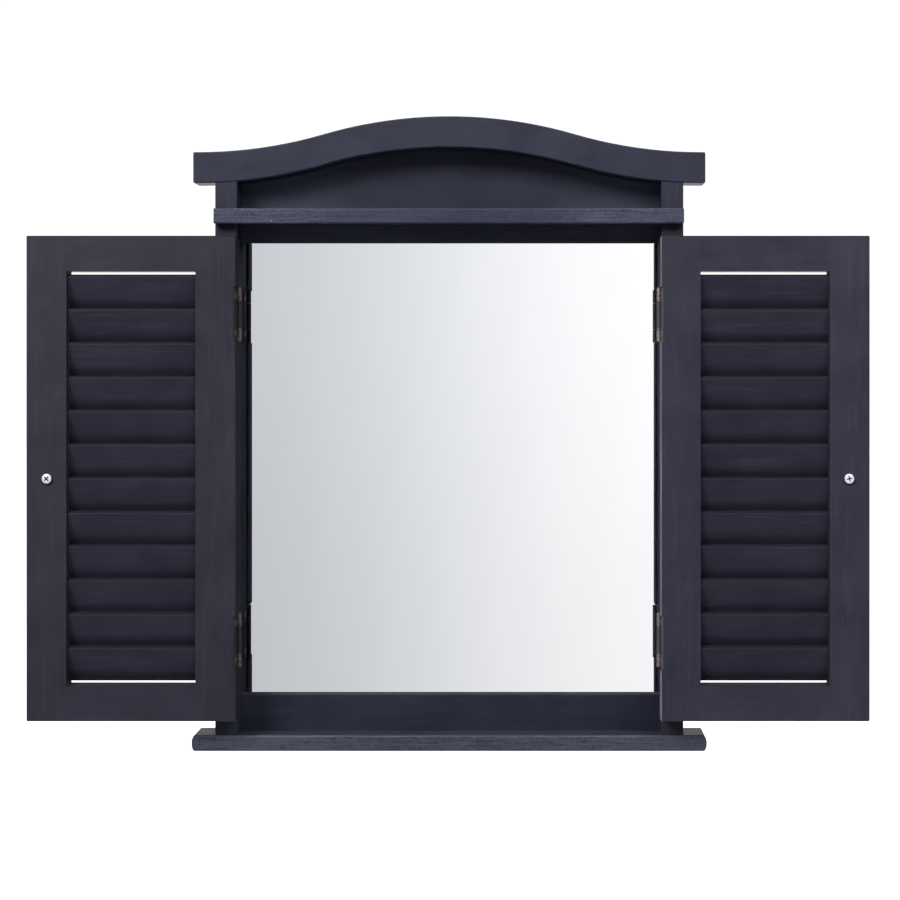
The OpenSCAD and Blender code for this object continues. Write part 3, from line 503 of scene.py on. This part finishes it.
def hinge_metal(name, bare_knuckles, paint, polish):
    """Painted hinge brass. bare_knuckles is how far the brass shows on the outer knuckles, paint the
    coat on the rest, and polish how bright the brass is, set higher on the right hinge as painted light."""
    finish = new_finish(name)
    spot = spot_on(finish)
    far = [work_out(finish, "ABSOLUTE", plus(finish, spot["Z"], -middle)) for middle in HINGE_ZS]
    knuckle = times(
        finish,
        level(
            finish, work_out(finish, "MINIMUM", *far),
            MIDDLE_KNUCKLE_HALF - 0.0004, MIDDLE_KNUCKLE_HALF, 0.0, 1.0,
        ),
        level(finish, spot["Y"], PIN_Y + 0.0008, PIN_Y, 0.0, 1.0),
    )
    blots = speckle(finish, place_on(finish), 420.0)
    bare = times(finish, knuckle, level(finish, blots, 0.40, 0.52, 0.35 * bare_knuckles, bare_knuckles))
    shade, rubbed = ([part * polish for part in metal] for metal in (BRASS_SHADE, RUBBED_BRASS))
    brass = over(finish, level(finish, blots, 0.35, 0.65, 0.0, 1.0), shade, rubbed)
    feed(finish, "Base Color", over(finish, bare, paint, brass))
    feed(finish, "Metallic", times(finish, bare, 0.8))
    feed(finish, "Roughness", level(finish, blots, 0.3, 0.7, 0.34, 0.50))
    emboss(finish, blots, 0.25, 0.0002)
    return finish


# the right hinge gets paler paint and brighter brass than the left: painted light, for the side the left lamp
# lights
dress("left_post_hinge_leaves", hinge_metal("left_hinge_brass", 0.9, HINGE_PAINT, 1.6))
dress("right_post_hinge_leaves", hinge_metal("right_hinge_brass", 0.95, HINGE_PAINT_LIT, 2.7))
for side, paint in (("left", HINGE_PAINT), ("right", HINGE_PAINT_LIT)):
    leaf_paint = new_finish(side + "_leaf_paint")
    brushed = speckle(leaf_paint, place_on(leaf_paint), 420.0)
    darker, paler = ([part * share for part in paint] for share in (0.75, 1.25))
    feed(leaf_paint, "Base Color", over(leaf_paint, brushed, darker, paler))
    feed(leaf_paint, "Roughness", level(leaf_paint, brushed, 0.3, 0.7, 0.36, 0.50))
    dress(side + "_shutter_hinge_leaves", leaf_paint)

# ---------------------------------------------------------------------------------------------
# Hinge screws and pins: plated like the hinges. The paint has rubbed off their heads, which are
# bright, with spots of tarnish.
# ---------------------------------------------------------------------------------------------
plating = new_finish("screw_brass")
tarnish = speckle(plating, place_on(plating), 900.0)
spotted = level(plating, tarnish, 0.40, 0.60, 0.0, 1.0)
feed(plating, "Base Color", over(plating, spotted, (0.42, 0.35, 0.25), (0.92, 0.82, 0.62)))
feed(plating, "Roughness", level(plating, tarnish, 0.3, 0.7, 0.50, 0.28))
feed(plating, "Metallic", 0.9)
for piece in ("post_hinge_screws", "left_shutter_hinge_screws", "right_shutter_hinge_screws", "hinge_pins"):
    dress(piece, plating)

# ---------------------------------------------------------------------------------------------
# Knobs: turned from hardwood and dipped in the same paint, one on the outer face of each shutter.
# A screw through the free stile holds each of them.
# ---------------------------------------------------------------------------------------------
knob_paint = slate_paint("knob_paint", ALONG_Y, open_grain=0.1, shift=(0.4, 0, 0.6))
for side in ("left", "right"):
    dress(f"{side}_shutter_knob", knob_paint)

# ---------------------------------------------------------------------------------------------
# Knob screws: bright nickel-plated pan heads with a cross recess, through the free stiles into
# the knobs. Each was left turned as the driver stopped.
# ---------------------------------------------------------------------------------------------
HEAD_R, HEAD_H, SHANK_R, SHANK_LENGTH = 0.0041, 0.0022, 0.002, 0.026
CROWN, RIM_ROUNDING = 0.16, 0.0011
CROWN_RINGS = (0.42, 0.75), (0.30, 0.25)
SHANK_SHARE, POINT_SHARE, POINT_TAPER = 0.93, 0.07, 0.3
CROSS_REACH, CROSS_HALF_W, CROSS_DEPTH, CROSS_TAPER = 0.00250, 0.00054, 0.0016, 0.55

# the seats of the heads, where the CAD model has them
HEAD_SEAT_Y, HEAD_X, HEAD_Z = -0.047, 0.3301, 0.2286
HEAD_TOP_Y = HEAD_SEAT_Y - HEAD_H * (1 + CROWN)

nickel = new_finish("bright_nickel")
spot = spot_on(nickel)
either_side = work_out(nickel, "ABSOLUTE", spot["X"])
on_head = add_node(nickel, "CombineXYZ", {0: either_side, 1: 0.0, 2: spot["Z"]}).outputs[0]
from_axis = add_node(
    nickel, "VectorMath", {0: on_head, 1: (HEAD_X, 0.0, HEAD_Z)}, operation="DISTANCE",
).outputs["Value"]
# painted shade: a mask for the cross recess of each head
recess = times(
    nickel,
    level(nickel, from_axis, CROSS_REACH, CROSS_REACH + 0.0003, 1.0, 0.0),
    level(nickel, spot["Y"], HEAD_TOP_Y + 0.00035, HEAD_TOP_Y + 0.0006, 0.0, 1.0),
)
polish = speckle(nickel, place_on(nickel), 900.0, detail=2.0)
feed(nickel, "Base Color", over(nickel, polish, (0.68, 0.68, 0.75), (0.80, 0.80, 0.87)))
feed(nickel, "Roughness", level(nickel, polish, 0.3, 0.7, 0.26, 0.36))
feed(nickel, "Metallic", 1.0)
# the cross recess painted near black as painted shade, and duller
lay_over(nickel, recess, (0.035, 0.035, 0.045), duller=0.4)


def pick(piece, wanted):
    """In edit mode, selects the faces that pass a test."""
    bpy.ops.mesh.select_mode(type="FACE")
    bpy.ops.mesh.select_all(action="DESELECT")
    bpy.ops.object.mode_set(mode="OBJECT")
    for face in piece.data.polygons:
        face.select = wanted(face)
    bpy.ops.object.mode_set(mode="EDIT")


def knob_screw(side, x, turn):
    """A pan head screw, modelled point down at the origin, then stood in its hole."""
    bpy.ops.object.select_all(action="DESELECT")
    bpy.ops.mesh.primitive_cylinder_add(vertices=64, radius=HEAD_R, depth=HEAD_H, location=(0, 0, HEAD_H / 2))
    screw = bpy.context.object
    screw.name = side + "_pan_head_screw"
    bpy.ops.object.transform_apply(location=True, rotation=False, scale=False)

    # crown of the head: two rings inwards, each with its share of the rise
    bpy.ops.object.mode_set(mode="EDIT")
    pick(screw, lambda face: face.normal.z > 0.9)
    for ring, rise in CROWN_RINGS:
        bpy.ops.mesh.inset(thickness=HEAD_R * ring)
        bpy.ops.transform.translate(value=(0, 0, HEAD_H * CROWN * rise))

    # shank with a short, blunt point, then the rounded rim of the head
    pick(screw, lambda face: face.normal.z < -0.9)
    bpy.ops.mesh.inset(thickness=HEAD_R - SHANK_R)
    for share in (SHANK_SHARE, POINT_SHARE):
        bpy.ops.mesh.extrude_region_move(TRANSFORM_OT_translate={"value": (0, 0, -SHANK_LENGTH * share)})
    bpy.ops.transform.resize(value=(POINT_TAPER, POINT_TAPER, 1))
    bpy.ops.object.mode_set(mode="OBJECT")
    rim = screw.modifiers.new("rounded_rim", "BEVEL")
    rim.width, rim.segments, rim.limit_method, rim.angle_limit = RIM_ROUNDING, 6, "ANGLE", radians(50)
    bpy.ops.object.modifier_apply(modifier=rim.name)

    # cross recess: two bars, narrower towards the floor of the recess
    bars = []
    for size in ((CROSS_REACH, CROSS_HALF_W), (CROSS_HALF_W, CROSS_REACH)):
        bpy.ops.object.select_all(action="DESELECT")
        bpy.ops.mesh.primitive_cube_add(size=2, location=(0, 0, HEAD_H * (1 + CROWN) - CROSS_DEPTH * 0.45))
        bar = bpy.context.object
        bpy.ops.transform.resize(value=(size[0], size[1], CROSS_DEPTH * 0.55))
        bpy.ops.object.transform_apply(location=True, rotation=False, scale=True)
        bpy.ops.object.mode_set(mode="EDIT")
        pick(bar, lambda face: face.normal.z < -0.9)
        bpy.ops.transform.resize(value=(CROSS_TAPER, CROSS_TAPER, 1))
        bpy.ops.object.mode_set(mode="OBJECT")
        bars.append(bar)
    for bar in bars:
        cut = screw.modifiers.new("recess", "BOOLEAN")
        cut.operation, cut.object, cut.solver = "DIFFERENCE", bar, "EXACT"
        bpy.ops.object.select_all(action="DESELECT")
        screw.select_set(True)
        bpy.context.view_layer.objects.active = screw
        bpy.ops.object.modifier_apply(modifier=cut.name)
        bpy.data.objects.remove(bar)
    bpy.ops.object.shade_smooth_by_angle(angle=radians(32))

    screw.rotation_euler = (radians(90), radians(turn), 0)
    screw.location = (x, HEAD_SEAT_Y, HEAD_Z)
    bpy.ops.object.transform_apply(location=True, rotation=True, scale=True)
    screw.data.materials.append(nickel)
    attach(screw, side + "_shutter")
    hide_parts(side + "_shutter_knob_screw")
    return screw


screw_heads = [knob_screw("left", -HEAD_X, 45), knob_screw("right", HEAD_X, -12)]

# ---------------------------------------------------------------------------------------------
# Floor: plain pale paper. It lies well below the part, which hangs as on a wall, and throws no
# light of its own on it.
# ---------------------------------------------------------------------------------------------
FLOOR_Z = -0.30
bpy.ops.object.select_all(action="DESELECT")
bpy.ops.mesh.primitive_plane_add(size=24, location=(0, 0, FLOOR_Z))
floor = bpy.context.object
floor.name = "floor"
bpy.ops.object.transform_apply(location=True)
floor_paper = new_finish("pale_floor")
fibre = speckle(floor_paper, place_on(floor_paper), 60.0)
feed(floor_paper, "Base Color", over(floor_paper, fibre, (0.86, 0.86, 0.86), (0.90, 0.90, 0.90)))
feed(floor_paper, "Roughness", 0.9)
feed(floor_paper, "Emission Color", (1, 1, 1, 1))
feed(floor_paper, "Emission Strength", 0.8)
floor.data.materials.append(floor_paper)
floor.visible_diffuse = False
floor.visible_glossy = False
floor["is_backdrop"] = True

# ---------------------------------------------------------------------------------------------
# Lamps: three soft boxes in front of the part and above it, a strong one at the left and far
# off, a weaker one at the right and a faint one near the middle.
# ---------------------------------------------------------------------------------------------
LAMPS_AIM = Vector((0, 0, 0.2))
for name, place, size, watts in (
    ("left_soft_box", (-2.85, -3.3, 3.5), (2.1, 2.1), 240),
    ("right_soft_box", (1.9, -2.2, 2.4), (1.4, 1.4), 50),
    ("top_soft_box", (0, -1.3, 2.4), (1.6, 0.9), 14),
):
    lamp = bpy.data.lights.new(name, "AREA")
    lamp.shape = "RECTANGLE"
    lamp.size, lamp.size_y = size
    lamp.energy = watts
    holder = bpy.data.objects.new(name, lamp)
    holder.location = place
    holder.rotation_euler = (LAMPS_AIM - Vector(place)).to_track_quat("-Z", "Y").to_euler()
    bpy.context.scene.collection.objects.link(holder)

# ---------------------------------------------------------------------------------------------
# White card: it stands in front, for the mirror and the bright screws alone. Over what the mirror
# shows it turns from grey at the left to white at the right, which gives the glass its even
# change of tone. Further left it is white again.
# ---------------------------------------------------------------------------------------------
CARD_GREY, CARD_WHITE = (0.700, 0.712, 0.735), (1.22, 1.20, 1.20)
bpy.ops.object.select_all(action="DESELECT")
bpy.ops.mesh.primitive_plane_add(size=30, location=(0, -2.2, 0.3), rotation=(radians(90), 0, 0))
card = bpy.context.object
card.name = "white_card"
bpy.ops.object.transform_apply(location=True, rotation=True, scale=True)
card_white = new_finish("card_white")
spot = spot_on(card_white)
to_right = level(card_white, spot["X"], -0.62, 0.40, 0.0, 1.0, "SMOOTHSTEP")
far_left = level(card_white, spot["X"], -0.72, -0.85, 0.0, 1.0)
outwards = work_out(card_white, "ABSOLUTE", spot["X"])
fading = level(card_white, outwards, 1.0, 2.6, 1.0, 0.0, "SMOOTHSTEP")
white = times(card_white, plus(card_white, to_right, far_left), fading)
feed(card_white, "Emission Color", over(card_white, white, CARD_GREY, CARD_WHITE))

# only its first reflection shines, so that the mirror throws no light of it back on the frame
bounces = add_node(card_white, "LightPath").outputs["Ray Depth"]
first_bounce = level(card_white, bounces, 1.4, 1.6, 1.0, 0.0)
upwards = level(card_white, spot["Z"], -0.45, 0.60, 0.89, 1.0, "SMOOTHSTEP")
feed(card_white, "Emission Strength", times(card_white, first_bounce, upwards))
feed(card_white, "Base Color", (0, 0, 0, 1))
feed(card_white, "Specular IOR Level", 0.0)
card_white.cycles.emission_sampling = "NONE"
card.data.materials.append(card_white)
for ray in ("camera", "diffuse", "transmission", "volume_scatter", "shadow"):
    setattr(card, "visible_" + ray, False)
shiny = bpy.data.collections.new("shiny_pieces")
for piece in (pieces["mirror_glass"], pieces["post_hinge_screws"], *screw_heads):
    shiny.objects.link(piece)
card.light_linking.receiver_collection = shiny
card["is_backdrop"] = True

# ---------------------------------------------------------------------------------------------
# Surround: white where the camera looks. As light it is dim in front of the part, apart from
# low down, and bright behind it, apart from high up.
# ---------------------------------------------------------------------------------------------
SEEN_WHITE = (1.05, 1.05, 1.05)
DIM_FRONT, BRIGHT_BELOW = (0.285, 0.29, 0.315), (0.84, 0.84, 0.88)
BRIGHT_BEHIND, DIM_ALOFT = (1.52, 1.42, 1.44), (0.36, 0.36, 0.38)
paper = bpy.data.worlds.new("white_paper")
paper.use_nodes = True
bpy.context.scene.world = paper
way = add_node(paper, "SeparateXYZ", {0: add_node(paper, "TexCoord").outputs["Generated"]}).outputs
behind = level(paper, way["Y"], -0.25, 0.65, 0.0, 1.0, "SMOOTHSTEP")
below = level(paper, way["Z"], -0.10, -0.50, 0.0, 1.0, "SMOOTHSTEP")
aloft = level(paper, way["Z"], 0.15, 0.60, 0.0, 1.0, "SMOOTHSTEP")
front = over(paper, below, DIM_FRONT, BRIGHT_BELOW)
back = over(paper, aloft, BRIGHT_BEHIND, DIM_ALOFT)
seen = add_node(paper, "LightPath").outputs["Is Camera Ray"]
glow = over(paper, seen, over(paper, behind, front, back), SEEN_WHITE)
paper.node_tree.links.new(glow, paper.node_tree.nodes["Background"].inputs["Color"])

# ---------------------------------------------------------------------------------------------
# Camera: level and square to the wall, right of the middle of the part, with its lens shifted
# so that the part fills the picture.
# ---------------------------------------------------------------------------------------------
PICTURE_PX = 900
SHIFT_X_PX, SHIFT_Y_PX = -85, -80
camera = bpy.data.objects.new("camera", bpy.data.cameras.new("camera"))
camera.data.lens = 67.1
camera.data.sensor_width = 36
camera.data.shift_x = SHIFT_X_PX / PICTURE_PX
camera.data.shift_y = SHIFT_Y_PX / PICTURE_PX
camera.location = (0.0716, -1.428, 0.3180)
camera.rotation_euler = (radians(90), 0, 0)
bpy.context.scene.collection.objects.link(camera)
bpy.context.scene.camera = camera
bpy.context.scene.view_settings.view_transform = "Standard"

# ---------------------------------------------------------------------------------------------
# The box of the dressed part.
# ---------------------------------------------------------------------------------------------
lowest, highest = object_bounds()
